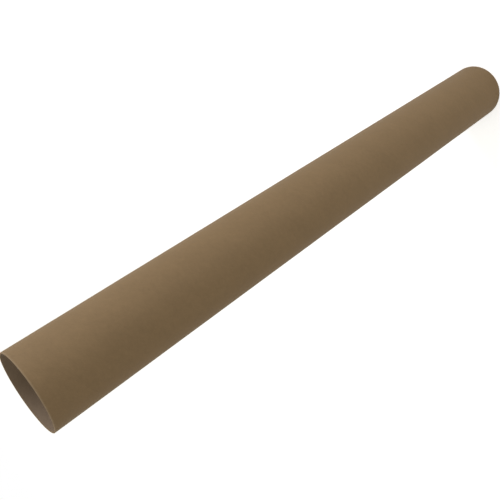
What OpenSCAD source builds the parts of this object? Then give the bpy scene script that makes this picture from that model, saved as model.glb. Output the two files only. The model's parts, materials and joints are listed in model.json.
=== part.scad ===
// Kraft paper tube, open at both ends: paper wound on a mandrel and glued into one stiff wall.
// Millimetres. The tube stands on its lower cut end, its axis is +Z, and the origin is at the
// centre of that end.

/* [Tube] */
// Inside diameter, the size of the mandrel
inside_d = 100; // [30:1:200]
// Thickness of the finished wall
wall = 2; // [1:0.1:8]
// Length from cut end to cut end
tube_len = 1000; // [150:10:2000]

/* [Cut ends] */
// Radius left by the cutter on the outer edge of each end
outer_edge_r = 0.4; // [0.1:0.05:0.45]
// Radius left by the cutter on the inner edge of each end
inner_edge_r = 0.3; // [0.1:0.05:0.45]

/* [Hidden] */

inside_r = inside_d / 2;
outside_r = inside_r + wall;
kraft_brown = [0.55, 0.46, 0.35];
// Facets of the preview: the rounds themselves are true arcs
$fn = 128;

// What a round of radius r takes off a square corner at the origin, with the material along +X and +Y
module corner_waste(r) {
    difference() {
        square(r);
        translate([r, r]) circle(r);
    }
}

// The wall as cut along the axis, standing on X, with all four of its edges eased
module wall_section() {
    difference() {
        translate([inside_r, 0]) square([wall, tube_len]);
        for (end = [0, 1]) {
            translate([0, end * tube_len]) mirror([0, end]) {
                translate([inside_r, 0]) corner_waste(inner_edge_r);
                translate([outside_r, 0]) mirror([1, 0]) corner_waste(outer_edge_r);
            }
        }
    }
}

module tube() {
    color(kraft_brown) rotate_extrude() wall_section();
}

tube();
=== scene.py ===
"""Looks of the kraft paper tube: a fine mesh in place of the plain solid, kraft materials, light and camera.

Metres. The tube stands on its lower end on z = 0, with its axis on +Z.
"""
import json
import math

import bpy
import numpy as np
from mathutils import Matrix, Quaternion, Vector


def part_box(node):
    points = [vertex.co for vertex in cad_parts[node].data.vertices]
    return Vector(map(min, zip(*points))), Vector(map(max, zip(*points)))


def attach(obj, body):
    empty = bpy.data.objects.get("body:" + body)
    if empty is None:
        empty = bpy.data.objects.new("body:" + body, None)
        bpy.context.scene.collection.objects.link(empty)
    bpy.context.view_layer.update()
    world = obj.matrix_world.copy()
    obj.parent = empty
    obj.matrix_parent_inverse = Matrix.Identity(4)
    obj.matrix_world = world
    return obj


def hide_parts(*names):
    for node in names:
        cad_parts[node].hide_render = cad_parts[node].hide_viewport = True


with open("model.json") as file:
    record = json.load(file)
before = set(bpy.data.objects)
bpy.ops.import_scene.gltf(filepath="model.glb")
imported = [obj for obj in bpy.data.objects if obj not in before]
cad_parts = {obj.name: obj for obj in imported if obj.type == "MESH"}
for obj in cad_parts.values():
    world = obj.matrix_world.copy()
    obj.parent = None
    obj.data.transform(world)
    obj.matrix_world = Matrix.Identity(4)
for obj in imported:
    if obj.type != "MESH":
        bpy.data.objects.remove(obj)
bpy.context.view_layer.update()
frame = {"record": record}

MM = 0.001
FULL_TURN = 2 * math.pi

# Sizes of the tube, from the frame
ROUND_MOUNTS = {m["name"]: m["dims"] for m in frame["record"]["mounts"] if m["dims"]}
BORE_R = ROUND_MOUNTS["bore"]["r_mm"] * MM
OUTER_R = ROUND_MOUNTS["outside"]["r_mm"] * MM
FOOT, TOP = (corner.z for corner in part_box("tube"))
LENGTH = TOP - FOOT
WALL = OUTER_R - BORE_R
OUTER_EDGE = (LENGTH - ROUND_MOUNTS["outside"]["length_mm"] * MM) / 2
INNER_EDGE = (LENGTH - ROUND_MOUNTS["bore"]["length_mm"] * MM) / 2

# How the paper is wound: strips laid edge to edge along a helix, one ply over another
PLIES = 4
STRIP_WIDTH = 150 * MM
GIRTH = FULL_TURN * OUTER_R
WIND_ANGLE = math.asin(STRIP_WIDTH / GIRTH)
PITCH = GIRTH * math.tan(WIND_ANGLE)
INNER_LAP_SHIFT = 0.5

# Mesh: columns round the tube, rows along its wall, steps round each eased edge, grooves between plies
COLUMNS = 240
ROW_STEP = 8 * MM
ROWS_BY_THE_EDGE = (0.3 * MM, 1 * MM, 2.2 * MM, 4 * MM)
EDGE_STEPS = 6
GROOVE_DEPTH = 0.06 * MM
GROOVE_STEP = 0.04 * MM
GROOVE_SHAPE = ((2, 0), (1, 0.3), (0, 1), (-1, 0.3), (-2, 0))

# Relief of the wall and of the cut, all well under a millimetre
WIND_RELIEF = 0.03 * MM
TOP_PLY_SHARE = 0.6
RIDGE_PHASE = 1
OVAL = 0.1 * MM
OVAL_TWIST = 3
SWELL = 0.02 * MM
SWELL_WAVES = 14
MOST_WAVES_AROUND = 9
SHORTEST_WAVE = 50 * MM
OUTER_SEED = 3
INNER_SEED = 4
CUT_WAVE = 0.06 * MM
CUT_WAVES_AROUND = (3, 5)
CUT_PHASE = 1
CUT_REACH = 4 * MM

# Colours in plain light, how far the tone strays from them, and how much the paper shines
OUTSIDE_BROWN = (135, 112, 82)
INSIDE_BROWN = (148, 129, 109)
FRAYED_BROWN = (147, 126, 100)
CUT_BROWN = (157, 135, 107)
TONE_SPREAD = 0.2
MID_TONE = 0.5
SHEEN = 0.1

# Marks in the paper: length along the strip, width, and levels of finer detail
PAPER_MARKS = {
    "clouds": (60 * MM, 35 * MM, 2),
    "mottle": (9 * MM, 6 * MM, 3),
    "fibres": (4 * MM, 0.6 * MM, 3),
    "fuzz": (0.5 * MM, 0.35 * MM, 2),
    "flecks": (2.5 * MM, 0.35 * MM, 2),
}
PAPER_TONE = {"clouds": 0.35, "mottle": 0.45, "fibres": 0.7, "fuzz": 0.5}
PAPER_MATT = {"mottle": 0.2, "fibres": 0.2}
PAPER_HEIGHT = {"mottle": 0.5, "fibres": 0.8, "fuzz": 0.5}
PAPER_ROUGHNESS = 0.65
PAPER_BUMP = 0.03 * MM
FLECK_LEVELS = (0.68, 0.76)
FLECK_DARKNESS = 0.5
JOINT_HALF = 0.15 * MM
JOINT_CORE = 0.02 * MM
JOINT_DARKNESS = 0.2
JOINT_DEPTH = 1.5
FRAYED_WIDTH = 2 * MM

# Marks in the cut: torn fibres, blotches, and glue lines, whose width is a share of a ply
CUT_MARKS = {"fuzz": (0.4 * MM, 0.4 * MM, 3), "blotch": (6 * MM, 6 * MM, 2)}
CUT_TONE = {"fuzz": 0.9, "blotch": 0.6}
CUT_MATT = {"fuzz": 0.2}
CUT_HEIGHT = {"fuzz": 1.0}
CUT_ROUGHNESS = 0.85
CUT_BUMP = 0.06 * MM
HALF_PLY = 0.5
GLUE_HALF = 0.2
GLUE_CORE = 0.05
GLUE_DARKNESS = 0.8
GLUE_DEPTH = 0.3

# Camera, from the perspective of the tube in the photograph
LENS = 40.986
SENSOR = 36
CAMERA_AT = Vector((0, -0.6631, 1.0942))
CAMERA_AIM = Vector((-0.008, 0, 0.6623))
CAMERA_ROLL = math.radians(-124.327)

# Light: a tall soft lamp to the side, a weak one in front by the foot, and even surroundings
SURROUND = 0.56
WARM = (1.02, 1, 0.93)
COOL = (0.98, 1, 1.1)
KEY = {"turn": -13, "reach": 1.25, "height": 1.3, "aim": 1.0, "size": (0.7, 1.2), "power": 8.7}
FILL = {"turn": -72, "reach": 1.2, "height": 0.1, "aim": 0.1, "size": (0.6, 0.6), "power": 2.8}

# Floor: what it throws back on the tube, and how it looks
FLOOR_HALF = 15
FLOOR_BOUNCE = 0.8
FLOOR_SHADE = 1
FLOOR_GLOW = 0.5


def linear(level):
    """A colour level from 0 to 255 as the share of light that a shader takes, by the sRGB curve."""
    share = level / 255
    return share / 12.92 if share <= 0.04045 else ((share + 0.055) / 1.055) ** 2.4


def tone(colour, factor):
    """A shader colour from levels of 0 to 255, made lighter or darker by a factor."""
    return (*(linear(level) * factor for level in colour), 1)


# Section of the wall

def arc(centre, radius, start, end):
    """Points round an eased edge, with angles in quarter turns from outwards to upwards."""
    out = []
    for step in range(EDGE_STEPS + 1):
        angle = math.pi / 2 * (start + (end - start) * step / EDGE_STEPS)
        out.append((centre[0] + radius * math.cos(angle), centre[1] + radius * math.sin(angle)))
    return out


def ply_grooves():
    """Points across the upper cut, from outside to inside: a fine groove between each two plies."""
    out = []
    for ply in range(1, PLIES):
        middle = OUTER_R - WALL * ply / PLIES
        for step, depth in GROOVE_SHAPE:
            out.append((middle + step * GROOVE_STEP, TOP - depth * GROOVE_DEPTH))
    return out


def upper_end():
    """The upper end of the section, from the outer wall over the cut to the inner wall."""
    outer = arc((OUTER_R - OUTER_EDGE, TOP - OUTER_EDGE), OUTER_EDGE, 0, 1)
    inner = arc((BORE_R + INNER_EDGE, TOP - INNER_EDGE), INNER_EDGE, 1, 2)
    return outer + ply_grooves() + inner


def wall_heights():
    """Heights of the rows between the two ends, closer together near the ends."""
    near = [OUTER_EDGE + step for step in ROWS_BY_THE_EDGE]
    span = LENGTH - 2 * near[-1]
    count = round(span / ROW_STEP)
    middle = [near[-1] + span * row / count for row in range(1, count)]
    return [FOOT + z for z in near + middle + [LENGTH - z for z in reversed(near)]]


def section():
    """The closed section of the wall, as points with the surface that each belongs to."""
    end = upper_end()
    rows = wall_heights()
    points = [(OUTER_R, z, "outside") for z in rows]
    points += [(r, z, "cut") for r, z in end]
    points += [(BORE_R, z, "inside") for z in reversed(rows)]
    points += [(r, FOOT + TOP - z, "cut") for r, z in reversed(end)]
    return points


# Relief of the paper

def waves(turn, height, seed):
    """A gentle random swell over the wall, from a few waves that close round the tube."""
    draw = np.random.default_rng(seed)
    total = np.zeros_like(turn)
    for _ in range(SWELL_WAVES):
        around = draw.integers(-MOST_WAVES_AROUND, MOST_WAVES_AROUND + 1)
        along = draw.uniform(-1, 1) * FULL_TURN / SHORTEST_WAVE
        total += np.cos(around * turn + along * height + draw.uniform(0, FULL_TURN))
    return total / math.sqrt(SWELL_WAVES)


def winding(turn, height, lap_shift):
    """The faint ridges that the plies' helical joints leave, from -1 to 1."""
    lap = FULL_TURN * (height / PITCH + lap_shift) - turn
    return TOP_PLY_SHARE * np.cos(lap) + (1 - TOP_PLY_SHARE) * np.cos((PLIES - 1) * lap + RIDGE_PHASE)


def relief(radius, turn, height):
    """The points' radii and heights, once the wall swells a little and the cut isn't quite true."""
    outer = WIND_RELIEF * winding(turn, height, 0) + SWELL * waves(turn, height, OUTER_SEED)
    inner = WIND_RELIEF * winding(turn, height, INNER_LAP_SHIFT) + SWELL * waves(turn, height, INNER_SEED)
    share = np.clip((radius - BORE_R) / WALL, 0, 1)
    oval = OVAL * np.cos(2 * turn + OVAL_TWIST * height)
    few, many = CUT_WAVES_AROUND
    dip = CUT_WAVE * (1 + np.cos(few * turn + CUT_PHASE) * np.cos(many * turn)) / 2
    by_the_top = np.exp((height - TOP) / CUT_REACH)
    by_the_foot = np.exp((FOOT - height) / CUT_REACH)
    swollen = radius + share * outer + (1 - share) * inner + oval
    return swollen, height + dip * (by_the_foot - by_the_top)


def make_tube(materials):
    """The tube as one closed mesh, with its own material on each of its surfaces."""
    points = section()
    rows = len(points)
    turns = np.linspace(0, FULL_TURN, COLUMNS, endpoint=False)
    radius, turn = np.meshgrid([r for r, _, _ in points], turns, indexing="ij")
    height, _ = np.meshgrid([z for _, z, _ in points], turns, indexing="ij")
    radius, height = relief(radius, turn, height)
    verts = np.stack([radius * np.cos(turn), radius * np.sin(turn), height], axis=-1)
    number = np.arange(rows * COLUMNS).reshape(rows, COLUMNS)
    above = np.roll(number, -1, axis=0)
    faces = np.stack([number, np.roll(number, -1, axis=1), np.roll(above, -1, axis=1), above], axis=-1)
    mesh = bpy.data.meshes.new("kraft_tube")
    mesh.from_pydata(verts.reshape(-1, 3).tolist(), [], faces.reshape(-1, 4).tolist())
    for material in materials.values():
        mesh.materials.append(material)
    names = [surface for _, _, surface in points]
    row_names = [after if here == "cut" else here for here, after in zip(names, names[1:] + names[:1])]
    slots = [list(materials).index(name) for name in row_names]
    mesh.polygons.foreach_set("material_index", np.repeat(slots, COLUMNS))
    mesh.polygons.foreach_set("use_smooth", np.ones(rows * COLUMNS, dtype=bool))
    mesh.update()
    tube = bpy.data.objects.new("kraft_tube", mesh)
    bpy.context.collection.objects.link(tube)
    return tube


# Nodes

def add_node(tree, kind, inputs=None, **settings):
    """A new node with these settings. An input is a plain value, or the output that feeds it."""
    made = tree.nodes.new(kind)
    for name, value in settings.items():
        setattr(made, name, value)
    for key, value in (inputs or {}).items():
        if isinstance(value, bpy.types.NodeSocket):
            tree.links.new(value, made.inputs[key])
        else:
            made.inputs[key].default_value = value
    return made


def maths(tree, operation, *values):
    """The output of a maths node on these values."""
    return add_node(tree, "ShaderNodeMath", dict(enumerate(values)), operation=operation).outputs[0]


def less(tree, value, mark, amount):
    """The value, lowered by the amount where the mark is 1."""
    return maths(tree, "MULTIPLY_ADD", mark, -amount, value)


def swayed(tree, middle, marks, weights):
    """A value about the middle, swayed by each mark as its weight says."""
    total = middle - sum(weights.values()) / 2
    for name, weight in weights.items():
        total = maths(tree, "MULTIPLY_ADD", marks[name], weight, total)
    return total


def between(tree, value, start, end):
    """0 before the start, 1 past the end, and smooth between them. The end may lie below the start."""
    limits = {"Value": value, "From Min": start, "From Max": end}
    return add_node(tree, "ShaderNodeMapRange", limits, interpolation_type="SMOOTHSTEP").outputs[0]


def grain(tree, place, length, width, detail):
    """Random tone from 0 to 1, in marks of about this length and width."""
    scale = (1 / length, 1 / width, 1)
    scaled = add_node(tree, "ShaderNodeVectorMath", {0: place, 1: scale}, operation="MULTIPLY").outputs[0]
    return add_node(tree, "ShaderNodeTexNoise", {"Vector": scaled, "Scale": 1, "Detail": detail}).outputs[0]


def tone_ramp(tree, value, colour):
    """The colour, darker where the value is low and lighter where it is high."""
    node = add_node(tree, "ShaderNodeValToRGB", {0: value})
    dark, light = node.color_ramp.elements
    dark.color = tone(colour, 1 - TONE_SPREAD)
    light.color = tone(colour, 1 + TONE_SPREAD)
    return node.outputs[0]


def mixed(tree, share, low, high):
    """A colour that goes from low to high as the share goes from 0 to 1."""
    node = add_node(tree, "ShaderNodeMix", {0: share}, data_type="RGBA")
    first, second = (socket for socket in node.inputs if socket.type == "RGBA")
    tree.links.new(low, first)
    tree.links.new(high, second)
    return next(socket for socket in node.outputs if socket.type == "RGBA")


def object_place(tree):
    """The point's place on the object, and its x, y and z."""
    place = add_node(tree, "ShaderNodeTexCoord").outputs["Object"]
    return place, *add_node(tree, "ShaderNodeSeparateXYZ", {0: place}).outputs


# Materials

def unwound(tree, lap_shift):
    """Where a point lies on the paper: its place on the strip, its distance from a joint and from an end."""
    _, x, y, z = object_place(tree)
    turn = maths(tree, "DIVIDE", maths(tree, "ARCTAN2", y, x), FULL_TURN)
    lap = maths(tree, "SUBTRACT", maths(tree, "MULTIPLY_ADD", z, 1 / PITCH, lap_shift), turn)
    whole = maths(tree, "FLOOR", lap)
    across = maths(tree, "MULTIPLY", maths(tree, "SUBTRACT", lap, whole), STRIP_WIDTH)
    wound = maths(tree, "MULTIPLY", maths(tree, "ADD", turn, whole), GIRTH * math.cos(WIND_ANGLE))
    along = maths(tree, "MULTIPLY_ADD", z, math.sin(WIND_ANGLE), wound)
    strip = add_node(tree, "ShaderNodeCombineXYZ", {0: along, 1: across, 2: lap_shift}).outputs[0]
    to_joint = maths(tree, "MINIMUM", across, maths(tree, "SUBTRACT", STRIP_WIDTH, across))
    to_end = maths(tree, "MINIMUM", maths(tree, "SUBTRACT", z, FOOT), maths(tree, "SUBTRACT", TOP, z))
    return strip, to_joint, to_end


def kraft_paper(tree, colour, lap_shift):
    """Kraft: clouds, fibres along the strip, dark flecks, a hair-fine joint and pale frayed ends."""
    strip, to_joint, to_end = unwound(tree, lap_shift)
    marks = {name: grain(tree, strip, *sizes) for name, sizes in PAPER_MARKS.items()}
    flecks = between(tree, marks["flecks"], *FLECK_LEVELS)
    joint = between(tree, to_joint, JOINT_HALF, JOINT_CORE)
    shade = swayed(tree, MID_TONE, marks, PAPER_TONE)
    shade = less(tree, shade, flecks, FLECK_DARKNESS)
    shade = less(tree, shade, joint, JOINT_DARKNESS)
    ragged = less(tree, to_end, marks["fibres"], FRAYED_WIDTH)
    frayed = between(tree, ragged, FRAYED_WIDTH / 2, -FRAYED_WIDTH / 2)
    paper = mixed(tree, frayed, tone_ramp(tree, shade, colour), tone_ramp(tree, shade, FRAYED_BROWN))
    roughness = swayed(tree, PAPER_ROUGHNESS, marks, PAPER_MATT)
    height = less(tree, swayed(tree, MID_TONE, marks, PAPER_HEIGHT), joint, JOINT_DEPTH)
    return paper, roughness, height, PAPER_BUMP


def cut_board(tree, colour):
    """The cut through the plies: torn short fibres, and a dark line of glue between each two plies."""
    place, x, y, _ = object_place(tree)
    radius = maths(tree, "SQRT", maths(tree, "MULTIPLY_ADD", x, x, maths(tree, "MULTIPLY", y, y)))
    ply = maths(tree, "DIVIDE", maths(tree, "SUBTRACT", radius, BORE_R), WALL / PLIES)
    ply = maths(tree, "MINIMUM", maths(tree, "MAXIMUM", ply, HALF_PLY), PLIES - HALF_PLY)
    glue = between(tree, maths(tree, "PINGPONG", ply, HALF_PLY), GLUE_HALF, GLUE_CORE)
    marks = {name: grain(tree, place, *sizes) for name, sizes in CUT_MARKS.items()}
    shade = less(tree, swayed(tree, MID_TONE, marks, CUT_TONE), glue, GLUE_DARKNESS)
    roughness = swayed(tree, CUT_ROUGHNESS, marks, CUT_MATT)
    height = less(tree, swayed(tree, MID_TONE, marks, CUT_HEIGHT), glue, GLUE_DEPTH)
    return tone_ramp(tree, shade, colour), roughness, height, CUT_BUMP


def make_material(name, pattern, *options):
    """A material whose shader takes its colour, roughness and bump from a pattern."""
    material = bpy.data.materials.new(name)
    material.use_nodes = True
    tree = material.node_tree
    shader = tree.nodes["Principled BSDF"]
    colour, roughness, height, depth = pattern(tree, *options)
    bump = add_node(tree, "ShaderNodeBump", {"Height": height, "Strength": 1, "Distance": depth})
    tree.links.new(colour, shader.inputs["Base Color"])
    tree.links.new(roughness, shader.inputs["Roughness"])
    tree.links.new(bump.outputs[0], shader.inputs["Normal"])
    shader.inputs["Specular IOR Level"].default_value = SHEEN
    return material


# Stage

def seen_directly(tree):
    """1 on rays from the camera, mirrors and glass, and 0 on rays that only carry light."""
    rays = add_node(tree, "ShaderNodeLightPath").outputs
    seen = maths(tree, "MAXIMUM", rays["Is Camera Ray"], rays["Is Glossy Ray"])
    return maths(tree, "MAXIMUM", seen, rays["Is Transmission Ray"])


def make_world():
    """Even soft light, behind a white background."""
    world = bpy.data.worlds.new("surroundings")
    bpy.context.scene.world = world
    world.use_nodes = True
    tree = world.node_tree
    white = tree.nodes["Background"]
    white.inputs["Color"].default_value = (1, 1, 1, 1)
    white.inputs["Strength"].default_value = 1
    light = add_node(tree, "ShaderNodeBackground", {"Color": (*WARM, 1), "Strength": SURROUND}).outputs[0]
    mix = add_node(tree, "ShaderNodeMixShader", {0: seen_directly(tree), 1: light, 2: white.outputs[0]})
    tree.links.new(mix.outputs[0], tree.nodes["World Output"].inputs["Surface"])


def matt(tree, grey):
    """A plain matt grey."""
    return add_node(tree, "ShaderNodeBsdfDiffuse", {"Color": (grey, grey, grey, 1)}).outputs[0]


def make_floor():
    """A white floor that keeps a faint shadow."""
    mesh = bpy.data.meshes.new("floor")
    corners = [(x * FLOOR_HALF, y * FLOOR_HALF, FOOT) for x, y in ((-1, -1), (1, -1), (1, 1), (-1, 1))]
    mesh.from_pydata(corners, [], [(0, 1, 2, 3)])
    floor = bpy.data.objects.new("floor", mesh)
    bpy.context.collection.objects.link(floor)
    material = bpy.data.materials.new("floor_white")
    material.use_nodes = True
    tree = material.node_tree
    tree.nodes.remove(tree.nodes["Principled BSDF"])
    glow = add_node(tree, "ShaderNodeEmission", {"Strength": FLOOR_GLOW}).outputs[0]
    look = add_node(tree, "ShaderNodeAddShader", {0: matt(tree, FLOOR_SHADE), 1: glow}).outputs[0]
    bounce = matt(tree, FLOOR_BOUNCE)
    mix = add_node(tree, "ShaderNodeMixShader", {0: seen_directly(tree), 1: bounce, 2: look})
    tree.links.new(mix.outputs[0], tree.nodes["Material Output"].inputs["Surface"])
    mesh.materials.append(material)


def make_lamp(name, turn, reach, height, aim, size, power):
    """A soft lamp that the camera doesn't see, turned in degrees from +X and aimed at the tube's axis."""
    lamp = bpy.data.lights.new(name, "AREA")
    lamp.shape = "RECTANGLE"
    lamp.size, lamp.size_y = size
    lamp.energy = power
    lamp.color = COOL
    angle = math.radians(turn)
    place = Vector((reach * math.cos(angle), reach * math.sin(angle), height))
    holder = bpy.data.objects.new(name, lamp)
    holder.location = place
    holder.rotation_mode = "QUATERNION"
    holder.rotation_quaternion = (Vector((0, 0, aim)) - place).to_track_quat("-Z", "Y")
    holder.visible_camera = False
    bpy.context.collection.objects.link(holder)


def make_camera():
    """The camera at the photograph's viewing angle: the tube runs from lower left to upper right."""
    data = bpy.data.cameras.new("camera")
    data.lens = LENS
    data.sensor_width = SENSOR
    camera = bpy.data.objects.new("camera", data)
    camera.location = CAMERA_AT
    camera.rotation_mode = "QUATERNION"
    level = (CAMERA_AIM - CAMERA_AT).to_track_quat("-Z", "Y")
    camera.rotation_quaternion = level @ Quaternion((0, 0, 1), CAMERA_ROLL)
    bpy.context.collection.objects.link(camera)
    bpy.context.scene.camera = camera


make_camera()
make_world()
make_floor()
make_lamp("key", **KEY)
make_lamp("fill", **FILL)

tube = make_tube({
    "outside": make_material("kraft_outside", kraft_paper, OUTSIDE_BROWN, 0),
    "inside": make_material("kraft_inside", kraft_paper, INSIDE_BROWN, INNER_LAP_SHIFT),
    "cut": make_material("kraft_cut", cut_board, CUT_BROWN),
})
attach(tube, "root")
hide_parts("tube")

bpy.context.scene.view_settings.view_transform = "Standard"
